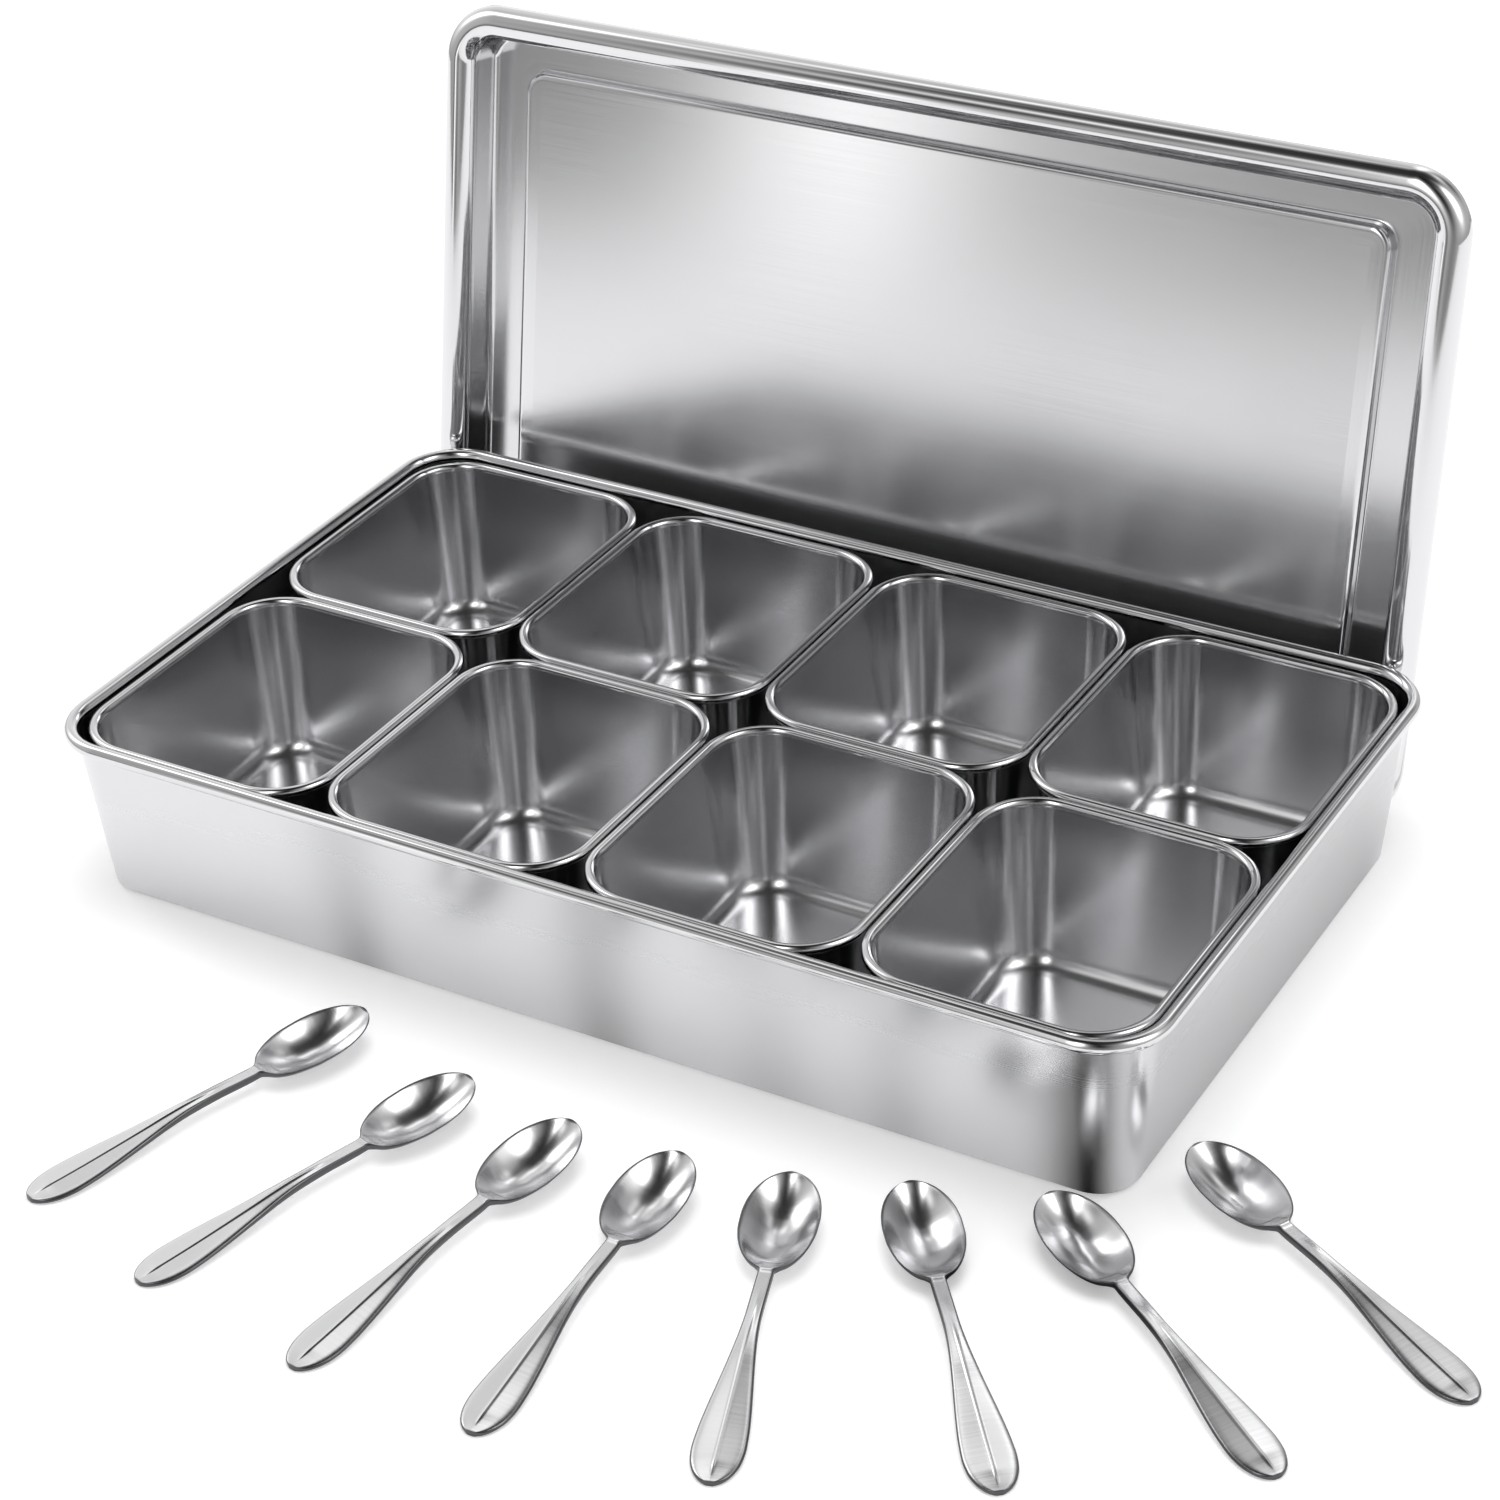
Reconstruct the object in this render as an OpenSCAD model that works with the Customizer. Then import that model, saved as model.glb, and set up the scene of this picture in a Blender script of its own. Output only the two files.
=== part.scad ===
// Condiment box: an open pressed tray with two rows of four lift-out pans, a loose
// lid stood on its edge behind the tray, and eight spoons lying in front of it.
// Frame: X along the tray, Y to the back, Z up, origin under the tray on the table.

/* [Tray] */
// Outside length over the rolled rim
tray_length = 370; // [240:1:480]
// Outside width over the rolled rim
tray_width = 220; // [150:1:300]
// Height from the table to the top of the rolled rim
tray_height = 58; // [40:0.5:90]
// Thickness of the pressed sheet
tray_sheet = 0.8; // [0.5:0.1:1.5]
// Diameter of the rolled rim
tray_bead = 4.5; // [3.5:0.1:6]
// Outside corner radius of the rolled rim, seen from above
tray_corner = 22; // [16:0.5:36]
// Outside radius between the walls and the floor
tray_edge = 2; // [1.5:0.5:5]
// Slope of the walls in degrees
tray_draft = 6; // [0:0.1:8]

/* [Pans] */
// Free width between the rims of two neighbouring pans
pan_gap = 0.8; // [0.5:0.1:3]
// Free width between a pan rim and the rolled rim of the tray
pan_play = 1; // [0.5:0.1:3]
// Height of the pan rims below the top of the tray rim
pan_drop = 2; // [0.5:0.1:6]
// Thickness of the pan sheet
pan_sheet = 0.7; // [0.4:0.1:1.2]
// Diameter of the rolled pan rim
pan_bead = 3.2; // [2:0.1:4.5]
// Outside corner radius of a pan rim, seen from above
pan_corner = 21; // [14:0.5:30]
// Outside radius between the pan walls and the pan floor
pan_edge = 6.5; // [3:0.5:8]
// Slope of the pan walls in degrees
pan_draft = 5.5; // [2:0.1:8]

/* [Lid] */
// Free width around the closed lid inside the rolled rim of the tray
lid_play = 0.5; // [0.3:0.1:4]
// Depth inside the lid, from the front of the rounded border to the ledge
lid_depth = 16.5; // [12:0.5:30]
// Thickness of the lid sheet
lid_sheet = 0.8; // [0.5:0.1:1.5]
// Width of the rounded border
lid_border = 11; // [8:0.5:14]
// Length of the straight skirt behind the rounded border
lid_skirt = 1.2; // [0.5:0.1:4]
// Outside corner radius of the lid
lid_corner = 20; // [17:0.5:34]
// Outside radius between the side wall and the ledge
lid_edge = 3; // [1.5:0.5:5]
// Slope of the side wall in degrees
lid_draft = 3; // [0:0.5:6]
// Width of the flat ledge along the long sides of the raised panel
ledge_width = 10.5; // [8:0.5:24]
// Width of the flat ledge at the short ends of the raised panel
ledge_end = 15; // [8:0.5:30]
// Height of the panel above the ledge, towards the inside
panel_rise = 4.5; // [2:0.5:8]
// Corner radius of the raised panel
panel_corner = 7; // [5:0.5:20]
// Outside radius along the edge of the raised panel
panel_edge = 2; // [1.2:0.1:3]
// Slope of the wall around the raised panel in degrees
panel_draft = 8; // [0:1:15]
// Lean of the standing lid to the back in degrees
lid_lean = 10; // [3:0.1:15]
// Free width between the tray rim and the standing lid
lid_gap = 0.9; // [0.8:0.1:10]
// Place of the standing lid along the tray, from the middle
lid_shift = -6; // [-20:1:20]

/* [Spoons] */
// Length of a spoon
spoon_length = 115; // [90:1:140]

/* [Hidden] */
$fn = 96;
pans_along = 4;
pans_across = 2;
// Share of a bead's diameter by which its sheet runs into it
lap_share = 0.05;
// Share of the sheet by which the lid's wall runs into its rounded border
wall_lap_share = 0.15;
quarter = 90;

// Pans fill the free space between the tray rims.
pan_room_length = tray_length - 2 * tray_bead - 2 * pan_play;
pan_room_width = tray_width - 2 * tray_bead - 2 * pan_play;
pan_length = (pan_room_length + pan_gap) / pans_along - pan_gap;
pan_width = (pan_room_width + pan_gap) / pans_across - pan_gap;
pan_height = tray_height - pan_drop - tray_sheet;
pan_step_x = pan_length + pan_gap;
pan_step_y = pan_width + pan_gap;

// The closed lid nests inside the rolled rim of the tray.
lid_length = tray_length - 2 * tray_bead - 2 * lid_play;
lid_width = tray_width - 2 * tray_bead - 2 * lid_play;

// Lid sections
border_radius = lid_border / 2;
lid_rise = lid_depth + lid_sheet;
panel_plane = lid_depth - panel_rise;
border_middle = lid_corner - border_radius;
border_reach = 2 * lid_border;
wall_lap = lid_sheet * wall_lap_share;
wall_reach = lid_corner - lid_border + wall_lap + lid_sheet / cos(lid_draft) + border_radius * tan(lid_draft);
wall_run = (lid_rise - border_radius) * tan(lid_draft);
wall_inset = lid_border + wall_run;
panel_length = lid_length - 2 * (wall_inset + ledge_end);
panel_width = lid_width - 2 * (wall_inset + ledge_width);
// The rim line of the lid stands this far behind the rim of the tray.
lid_foot = tray_width / 2 + lid_gap;
lid_middle = lid_width / 2;
// The leaning lid rests on the back edge of its lower skirt.
lid_seat = (border_radius + lid_skirt) * sin(lid_lean);

// Places of the spoons' middles: distance from the tray's middle as a share of half its length,
// then sideways and out from the tray's front as shares of the spoon's length; and their headings
spoon_place_shares = [[-0.4005, 0, 0.6287], [-0.1438, 0, 0.7504], [0.1114, 0, 0.8061], [0.353, 0, 0.7965],
    [0.6097, 0, 0.7157], [0.8686, 0, 0.5348], [1, 0.1965, 0.3183], [1, 0.4565, -0.053]];
spoon_turns = [70, 71.8, 82.3, 92.8, 108.7, 128.7, 145.2, 151.4];
// Stations from the handle's end to the tip of the bowl, as shares of the spoon's length:
// distance along, half width, height of the edge, hollow, ridge, thickness
spoon_station_shares = [
    [0.0010, 0.0085, 0.0135, 0.0000, 0.0001, 0.0126],
    [0.0076, 0.0229, 0.0135, 0.0000, 0.0005, 0.0126],
    [0.0202, 0.0362, 0.0138, 0.0000, 0.0014, 0.0126],
    [0.0420, 0.0490, 0.0144, 0.0000, 0.0029, 0.0127],
    [0.0714, 0.0579, 0.0157, 0.0000, 0.0046, 0.0128],
    [0.1092, 0.0613, 0.0182, 0.0000, 0.0046, 0.0130],
    [0.1597, 0.0587, 0.0222, 0.0000, 0.0046, 0.0134],
    [0.2185, 0.0524, 0.0277, 0.0000, 0.0046, 0.0140],
    [0.2773, 0.0445, 0.0336, 0.0000, 0.0046, 0.0148],
    [0.3361, 0.0363, 0.0399, 0.0000, 0.0046, 0.0159],
    [0.3950, 0.0288, 0.0469, 0.0000, 0.0046, 0.0172],
    [0.4538, 0.0229, 0.0523, 0.0000, 0.0042, 0.0194],
    [0.5126, 0.0197, 0.0555, 0.0000, 0.0025, 0.0210],
    [0.5630, 0.0193, 0.0571, 0.0000, 0.0012, 0.0210],
    [0.6050, 0.0193, 0.0571, 0.0000, 0.0000, 0.0210],
    [0.6387, 0.0193, 0.0571, 0.0000, 0.0000, 0.0205],
    [0.6639, 0.0193, 0.0571, 0.0000, 0.0000, 0.0184],
    [0.6790, 0.0306, 0.0572, 0.0063, 0.0000, 0.0168],
    [0.6941, 0.0497, 0.0576, 0.0172, 0.0000, 0.0153],
    [0.7143, 0.0656, 0.0586, 0.0288, 0.0000, 0.0136],
    [0.7395, 0.0785, 0.0604, 0.0399, 0.0000, 0.0115],
    [0.7731, 0.0888, 0.0629, 0.0498, 0.0000, 0.0097],
    [0.8109, 0.0942, 0.0654, 0.0551, 0.0000, 0.0093],
    [0.8487, 0.0948, 0.0682, 0.0558, 0.0000, 0.0089],
    [0.8866, 0.0912, 0.0711, 0.0522, 0.0000, 0.0087],
    [0.9202, 0.0829, 0.0736, 0.0442, 0.0000, 0.0085],
    [0.9479, 0.0711, 0.0757, 0.0337, 0.0000, 0.0085],
    [0.9697, 0.0566, 0.0774, 0.0224, 0.0000, 0.0084],
    [0.9857, 0.0401, 0.0787, 0.0121, 0.0000, 0.0084],
    [0.9958, 0.0221, 0.0795, 0.0042, 0.0000, 0.0084],
    [0.9996, 0.0070, 0.0798, 0.0005, 0.0000, 0.0084]];
// Points across a station as shares of its half width
across_shares = [-1, -0.8, -0.45, 0, 0.45, 0.8, 1];

// Shared profiles. Distances are measured outward from the axis of a corner.

// Distance at which the outer face of a sloping wall would meet the floor plane
function foot(reach, height, draft) = reach - height * tan(draft);
// Centre of the round between floor and wall
function round_at(base, edge, draft) = base - edge * (1 - sin(draft)) / cos(draft);

// Region under a sloping wall with a rounded lower edge, from the corner axis outward
module wall_side(base, edge, draft, low, height, radius) {
    middle = round_at(base, edge, draft);
    union() {
        polygon([
            [0, low],
            [middle, low],
            [middle + radius * cos(draft), edge - radius * sin(draft)],
            [middle + radius * cos(draft) + (height - edge + radius * sin(draft)) * tan(draft), height],
            [0, height]]);
        translate([middle, edge])
            circle(r = radius);
    }
}

// Wall and floor strip of a pressed pan, one sheet thick
module pan_section(reach, height, draft, edge, sheet) {
    base = foot(reach, height, draft);
    intersection() {
        difference() {
            wall_side(base, edge, draft, 0, height, edge);
            wall_side(base, edge, draft, sheet, height + edge, edge - sheet);
        }
        square([reach + edge, height]);
    }
}

// Takes a profile around a rounded rectangle, four straight sides and four corners.
module around(length, width, corner) {
    for (turn = [0 : 3]) {
        long = turn % 2 == 0 ? length : width;
        wide = turn % 2 == 0 ? width : length;
        rotate([0, 0, turn * quarter])
            translate([long / 2 - corner, wide / 2 - corner, 0]) {
                rotate_extrude(angle = quarter)
                    children();
                rotate([quarter, 0, 0])
                    linear_extrude(height = wide - 2 * corner)
                        children();
            }
    }
}

// A pressed open pan with a rolled rim, standing on the plane z = 0
module pressed_pan(length, width, height, corner, draft, edge, sheet, bead) {
    lap = bead * lap_share;
    seat = corner - bead + lap + sheet / cos(draft);
    top = height - bead / 2;
    around(length, width, corner) {
        union() {
            pan_section(seat, top, draft, edge, sheet);
            translate([corner - bead / 2, top])
                circle(d = bead);
        }
    }
    translate([corner - length / 2, corner - width / 2, 0])
        cube([length - 2 * corner, width - 2 * corner, sheet]);
}

// Tray
module tray() {
    color([0.84, 0.84, 0.85])
        pressed_pan(tray_length, tray_width, tray_height, tray_corner, tray_draft, tray_edge, tray_sheet, tray_bead);
}

// Pans, counted from the left in each row
module pan(column, row) {
    color([0.74, 0.74, 0.75])
        translate([(column - (pans_along - 1) / 2) * pan_step_x, (row - (pans_across - 1) / 2) * pan_step_y, tray_sheet])
            pressed_pan(pan_length, pan_width, pan_height, pan_corner, pan_draft, pan_edge, pan_sheet, pan_bead);
}

// Lid, drawn lying with its open side down and its rounded border on z = 0

// Rounded border as a half pipe with its skirt
module border_section() {
    difference() {
        translate([border_middle, border_radius])
            circle(r = border_radius);
        translate([border_middle, border_radius])
            circle(r = border_radius - lid_sheet);
        polygon([
            [border_middle, border_radius],
            [border_middle + border_reach, border_radius],
            [border_middle + border_reach, border_radius + border_reach],
            [border_middle - border_reach, border_radius + border_reach],
            [border_middle - border_reach, border_radius + lid_sheet],
            [border_middle, border_radius + lid_sheet]]);
    }
    translate([lid_corner - lid_sheet, border_radius])
        square([lid_sheet, lid_skirt]);
}

// Side wall and ledge: the open-pan section turned upside down, ending inside the border
module ledge_section() {
    difference() {
        translate([0, lid_rise])
            mirror([0, 1])
                pan_section(wall_reach, lid_rise, lid_draft, lid_edge, lid_sheet);
        translate([0, -border_reach])
            square([border_reach, border_reach + border_radius - lid_sheet]);
    }
}

// Opening in the ledge plate, its edge in the middle of the wall around the raised panel
module panel_opening() {
    corner = panel_corner + lid_sheet / 2;
    reach_x = panel_length / 2 - panel_corner;
    reach_y = panel_width / 2 - panel_corner;
    for (x = [-reach_x, reach_x])
        for (y = [-reach_y, reach_y])
            translate([x, y, panel_plane])
                cylinder(r = corner, h = lid_depth);
    translate([-reach_x, -reach_y - corner, panel_plane])
        cube([2 * reach_x, 2 * (reach_y + corner), lid_depth]);
    translate([-reach_x - corner, -reach_y, panel_plane])
        cube([2 * (reach_x + corner), 2 * reach_y, lid_depth]);
}

// Raised panel: a shallow pan whose floor faces the inside
module raised_panel() {
    reach = panel_corner + lid_sheet;
    plate_inset = panel_corner - lid_sheet;
    translate([0, 0, panel_plane]) {
        around(panel_length + 2 * lid_sheet, panel_width + 2 * lid_sheet, reach)
            pan_section(reach, panel_rise + lid_sheet, panel_draft, panel_edge, lid_sheet);
        translate([plate_inset - panel_length / 2, plate_inset - panel_width / 2, 0])
            cube([panel_length - 2 * plate_inset, panel_width - 2 * plate_inset, lid_sheet]);
    }
}

module flat_lid() {
    difference() {
        union() {
            around(lid_length, lid_width, lid_corner) {
                union() {
                    border_section();
                    ledge_section();
                }
            }
            translate([lid_corner - lid_length / 2, lid_corner - lid_width / 2, lid_depth])
                cube([lid_length - 2 * lid_corner, lid_width - 2 * lid_corner, lid_sheet]);
        }
        panel_opening();
    }
    raised_panel();
}

// The lid stands on its lower edge, leaning back, with its inside to the front.
module lid() {
    color([0.8, 0.8, 0.81])
        translate([lid_shift, lid_foot - (tray_height - lid_seat) * tan(lid_lean), lid_seat])
            rotate([-lid_lean, 0, 0])
                translate([0, 0, lid_middle])
                    rotate([-quarter, 0, 0])
                        flat_lid();
}

// Spoons. Each station is a closed loop: seven points on top, seven below.
function section_points(row) = [
    for (u = across_shares)
        [row[0] - 1 / 2, u * row[1], row[2] - row[3] * (1 - u * u) + row[4] * (1 - abs(u))],
    for (i = [len(across_shares) - 1 : -1 : 0])
        let (u = across_shares[i])
            [row[0] - 1 / 2, u * row[1], row[2] - row[3] * (1 - u * u) - row[5]]];

module spoon(number) {
    place = spoon_place_shares[number];
    ring = 2 * len(across_shares);
    stations = len(spoon_station_shares);
    shares = [for (row = spoon_station_shares) each section_points(row)];
    skin = [
        for (i = [0 : stations - 2])
            for (j = [0 : ring - 1])
                let (a = i * ring + j, b = i * ring + (j + 1) % ring)
                    each [[a, b, b + ring], [a, b + ring, a + ring]]];
    half = len(across_shares);
    start = [for (j = [0 : half - 2]) each [[j, ring - 1 - j, ring - 2 - j], [j, ring - 2 - j, j + 1]]];
    last = (stations - 1) * ring;
    end = [for (face = start) [last + face[2], last + face[1], last + face[0]]];
    color([0.78, 0.78, 0.79])
        translate([
            place[0] * tray_length / 2 + place[1] * spoon_length,
            -tray_width / 2 - place[2] * spoon_length,
            0])
            rotate([0, 0, spoon_turns[number]])
                polyhedron(points = shares * spoon_length, faces = concat(skin, start, end));
}

// Draw the chosen pieces.
tray();
lid();
pan(0, 1);  // pan_back_1
pan(1, 1);  // pan_back_2
pan(2, 1);  // pan_back_3
pan(3, 1);  // pan_back_4
pan(0, 0);  // pan_front_1
pan(1, 0);  // pan_front_2
pan(2, 0);  // pan_front_3
pan(3, 0);  // pan_front_4
spoon(0);  // spoon_1
spoon(1);  // spoon_2
spoon(2);  // spoon_3
spoon(3);  // spoon_4
spoon(4);  // spoon_5
spoon(5);  // spoon_6
spoon(6);  // spoon_7
spoon(7);  // spoon_8
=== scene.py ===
"""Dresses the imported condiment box: tray, lift-out pans, standing lid and spoons in steel.

Every piece is a surface worked out on a grid with numpy, in metres, in the CAD's own frame.
"""

import enum
import logging
import math
from dataclasses import dataclass, field

import bpy
import numpy as np
from mathutils import Matrix, Vector


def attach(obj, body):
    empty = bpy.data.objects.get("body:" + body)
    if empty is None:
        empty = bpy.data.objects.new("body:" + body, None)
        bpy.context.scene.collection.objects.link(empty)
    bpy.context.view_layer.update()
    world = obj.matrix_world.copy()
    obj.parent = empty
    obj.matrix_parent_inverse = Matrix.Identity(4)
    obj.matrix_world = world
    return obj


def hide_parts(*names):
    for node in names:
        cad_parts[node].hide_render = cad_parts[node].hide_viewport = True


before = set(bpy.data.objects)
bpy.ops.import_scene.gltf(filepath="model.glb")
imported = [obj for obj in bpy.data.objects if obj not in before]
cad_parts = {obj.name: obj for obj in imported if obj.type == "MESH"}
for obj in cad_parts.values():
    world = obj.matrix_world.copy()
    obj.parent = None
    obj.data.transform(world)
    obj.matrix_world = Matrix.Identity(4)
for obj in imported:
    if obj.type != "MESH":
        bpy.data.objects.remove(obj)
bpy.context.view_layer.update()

MM = 0.001
IMAGE_SIDE = 1500
SENSOR_MM = 36.0
UV_NAME = "surface"
# The attribute named here sets how polished the rims are, and on the spoons it also carries the painted dark edge
# shade.
POLISH_AND_EDGE_SHADE_NAME = "polish_and_edge_shade"
SHADE_NAME = "shade"
AXIS_REACH = 1.0  # distance of a section's ends from the corner axis, in millimetres
CAMERA_REACH = (0.05, 60.0)
WHITE = (1.0, 1.0, 1.0, 1.0)
LOG = logging.getLogger("condiment_box")


class SheetKind(enum.Enum):
    """What a sheet of the studio does to the rays that the metal reflects."""

    GLOW = "glow"
    FILTER = "filter"


@dataclass(frozen=True)
class SteelFinish:
    """A brushed or polished steel, with its rims polished further.

    Attributes:
        name: Name of the material.
        tint: Linear colour of the metal.
        roughness: Roughness of the flat surfaces.
        rim_roughness: Roughness where the mesh's "polish" attribute is 1.
        grain_lines: Brush lines per metre across their direction.
        grain_length: Noise cells per metre along the lines.
        grain_depth: Height of the brush lines in metres.
        grain_spread: How much the lines change the roughness.
        smudge: How much broad, soft marks change the roughness.
        anisotropy: Anisotropy of the reflection.
        painted_rim_shade: Linear colour painted where the "polish" attribute is 1, on the spoons a painted dark
            shade along the edges, or None for the same tint.
        grain_turn: Turn of the anisotropy against the UV map's first axis, in full turns.
        grain_detail: Octaves of the brush lines' noise.
        grain_octave: Strength of each octave against the one before.
        smudge_cells: Cells per metre of the soft marks.
        smudge_detail: Octaves of the soft marks' noise.
    """

    name: str
    tint: tuple[float, float, float]
    roughness: float
    rim_roughness: float
    grain_lines: float = 2600.0
    grain_length: float = 9.0
    grain_depth: float = 0.000002
    grain_spread: float = 0.08
    smudge: float = 0.04
    anisotropy: float = 0.0
    painted_rim_shade: tuple[float, float, float] | None = None
    grain_turn: float = 0.25
    grain_detail: float = 3.0
    grain_octave: float = 0.6
    smudge_cells: float = 16.0
    smudge_detail: float = 2.0

    def material(self) -> bpy.types.Material:
        """Makes the node material of this finish.

        Returns:
            The finished material.
        """
        made = bpy.data.materials.new(self.name)
        made.use_nodes = True
        nodes, links = made.node_tree.nodes, made.node_tree.links
        shader = nodes["Principled BSDF"]
        shader.inputs["Base Color"].default_value = (*self.tint, 1.0)
        shader.inputs["Metallic"].default_value = 1.0
        shader.inputs["Anisotropic"].default_value = self.anisotropy

        place = nodes.new("ShaderNodeUVMap")
        place.uv_map = UV_NAME
        stretch = nodes.new("ShaderNodeMapping")
        stretch.inputs["Scale"].default_value = (self.grain_length, self.grain_lines, 1.0)
        links.new(place.outputs["UV"], stretch.inputs["Vector"])
        brush = nodes.new("ShaderNodeTexNoise")
        brush.inputs["Scale"].default_value = 1.0
        brush.inputs["Detail"].default_value = self.grain_detail
        brush.inputs["Roughness"].default_value = self.grain_octave
        links.new(stretch.outputs["Vector"], brush.inputs["Vector"])

        spot = nodes.new("ShaderNodeTexCoord")
        cloud = nodes.new("ShaderNodeTexNoise")
        cloud.inputs["Scale"].default_value = self.smudge_cells
        cloud.inputs["Detail"].default_value = self.smudge_detail
        links.new(spot.outputs["Object"], cloud.inputs["Vector"])

        rim = nodes.new("ShaderNodeAttribute")
        rim.attribute_name = POLISH_AND_EDGE_SHADE_NAME
        # Painted shade: where a rim colour is given, the rim attribute mixes it into the base colour, which
        # darkens the spoons' edges.
        if self.painted_rim_shade:
            shade = nodes.new("ShaderNodeMix")
            shade.data_type = "RGBA"
            shade.inputs["A"].default_value = (*self.tint, 1.0)
            shade.inputs["B"].default_value = (*self.painted_rim_shade, 1.0)
            links.new(rim.outputs["Fac"], shade.inputs["Factor"])
            links.new(shade.outputs["Result"], shader.inputs["Base Color"])
        base = self._scaled(nodes, links, rim.outputs["Fac"], self.rim_roughness - self.roughness, self.roughness)
        lined = self._scaled(nodes, links, brush.outputs["Fac"], self.grain_spread, -self.grain_spread / 2)
        marked = self._scaled(nodes, links, cloud.outputs["Fac"], self.smudge, -self.smudge / 2)
        both = self._added(nodes, links, lined, marked)
        total = self._added(nodes, links, base, both)
        total.node.use_clamp = True
        links.new(total, shader.inputs["Roughness"])

        if self.anisotropy:
            tangent = nodes.new("ShaderNodeTangent")
            tangent.direction_type = "UV_MAP"
            tangent.uv_map = UV_NAME
            shader.inputs["Anisotropic Rotation"].default_value = self.grain_turn
            links.new(tangent.outputs["Tangent"], shader.inputs["Tangent"])

        bump = nodes.new("ShaderNodeBump")
        bump.inputs["Strength"].default_value = 1.0
        bump.inputs["Distance"].default_value = self.grain_depth
        links.new(brush.outputs["Fac"], bump.inputs["Height"])
        links.new(bump.outputs["Normal"], shader.inputs["Normal"])
        return made

    @staticmethod
    def _scaled(nodes: bpy.types.Nodes, links: bpy.types.NodeLinks, value: bpy.types.NodeSocket,
                factor: float, offset: float) -> bpy.types.NodeSocket:
        """Returns value times factor plus offset, as a socket."""
        step = nodes.new("ShaderNodeMath")
        step.operation = "MULTIPLY_ADD"
        step.inputs[1].default_value = factor
        step.inputs[2].default_value = offset
        links.new(value, step.inputs[0])
        return step.outputs[0]

    @staticmethod
    def _added(nodes: bpy.types.Nodes, links: bpy.types.NodeLinks, one: bpy.types.NodeSocket,
               other: bpy.types.NodeSocket) -> bpy.types.NodeSocket:
        """Returns the sum of two sockets, as a socket."""
        step = nodes.new("ShaderNodeMath")
        step.operation = "ADD"
        links.new(one, step.inputs[0])
        links.new(other, step.inputs[1])
        return step.outputs[0]


TRAY_FINISH = SteelFinish("satin tray steel", (0.70, 0.70, 0.71), 0.34, 0.10, grain_depth=0.000001,
                          grain_spread=0.04)
PAN_FINISH = SteelFinish("brushed pan steel", (0.66, 0.66, 0.67), 0.23, 0.08, grain_depth=0.0000015,
                         anisotropy=0.5)
LID_FINISH = SteelFinish("brushed lid steel", (0.72, 0.72, 0.73), 0.17, 0.09, grain_depth=0.000002,
                         anisotropy=0.4)
# The spoons' dark rim colour is painted shade along their outlines.
SPOON_FINISH = SteelFinish("polished spoon steel", (0.80, 0.80, 0.81), 0.17, 0.30, grain_lines=900.0,
                           grain_length=12.0, grain_depth=0.000010, grain_spread=0.06, smudge=0.03,
                           painted_rim_shade=(0.10, 0.10, 0.105))


def arc(centre: tuple[float, float], radius: float, first: float, last: float, steps: int) -> np.ndarray:
    """Points on an arc: centre plus radius times (cos, sin) of evenly spaced angles.

    Args:
        centre: Middle of the arc.
        radius: Its radius.
        first: First angle in degrees.
        last: Last angle in degrees.
        steps: Number of segments.

    Returns:
        An array of steps + 1 points.
    """
    angles = np.radians(np.linspace(first, last, steps + 1))
    return np.asarray(centre) + radius * np.stack([np.cos(angles), np.sin(angles)], axis=1)


def line(start: np.ndarray, end: np.ndarray, margin: float) -> np.ndarray:
    """Points just inside both ends of a straight stretch, which keep its shading flat.

    Args:
        start: First end, not included.
        end: Last end, not included.
        margin: Distance of the two points from the ends.

    Returns:
        An array of two points.
    """
    start, end = np.asarray(start, float), np.asarray(end, float)
    reach = np.linalg.norm(end - start)
    step = (end - start) / reach * min(margin, reach / 3)
    return np.stack([start + step, end - step])


def meet(point: np.ndarray, way: np.ndarray, centre: np.ndarray, radius: float) -> np.ndarray:
    """Where the line from point along way first enters a circle.

    With q the vector from the centre to the point, the distance t solves t*t + 2 t (q . way) + q . q = r * r.

    Args:
        point: A point outside the circle or on it.
        way: Unit direction of the line.
        centre: Middle of the circle.
        radius: Its radius.

    Returns:
        The nearer crossing.
    """
    q = np.asarray(point, float) - centre
    half = q @ way
    return point + (-half - math.sqrt(half * half - q @ q + radius * radius)) * way


@dataclass(frozen=True)
class RoundedPath:
    """Stations around a rounded rectangle.

    A ring of half sizes a and b and corner radius r has at each station the point
    (x share * (a - r) + r cos, y share * (b - r) + r sin).
    """

    corner_steps: int = 24
    straight_shares: tuple[float, ...] = (
        0.0015, 0.006, 0.02, 0.06, 0.16, 0.33, 0.5, 0.67, 0.84, 0.94, 0.98, 0.994, 0.9985)

    def stations(self) -> tuple[np.ndarray, np.ndarray, np.ndarray, np.ndarray]:
        """Axis shares and directions of all stations, counter-clockwise from +X.

        Returns:
            Arrays of x share, y share, cosine and sine.
        """
        turn = np.linspace(0.0, 90.0, self.corner_steps + 1)
        share = np.asarray(self.straight_shares)
        shares, angles = [], []
        corners = np.array([(1, 1), (-1, 1), (-1, -1), (1, -1)], float)
        for quadrant in range(4):
            here, there = corners[quadrant], corners[(quadrant + 1) % 4]
            shares += [np.repeat(here[None], len(turn), axis=0), here + share[:, None] * (there - here)]
            angles += [turn + 90.0 * quadrant, np.full(len(share), 90.0 * (quadrant + 1))]
        axis, angle = np.concatenate(shares), np.radians(np.concatenate(angles))
        return axis[:, 0], axis[:, 1], np.cos(angle), np.sin(angle)

    def rings(self, table: np.ndarray) -> np.ndarray:
        """Grid of points for a table of rings.

        Args:
            table: Rows of half length, half width, corner radius and height.

        Returns:
            An array of rings by stations by three.
        """
        share_x, share_y, cos, sin = self.stations()
        a, b, r, z = (table[:, k, None] for k in range(4))
        return np.stack([share_x * (a - r) + r * cos, share_y * (b - r) + r * sin, z + 0 * cos], axis=2)


PATH = RoundedPath()


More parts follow.
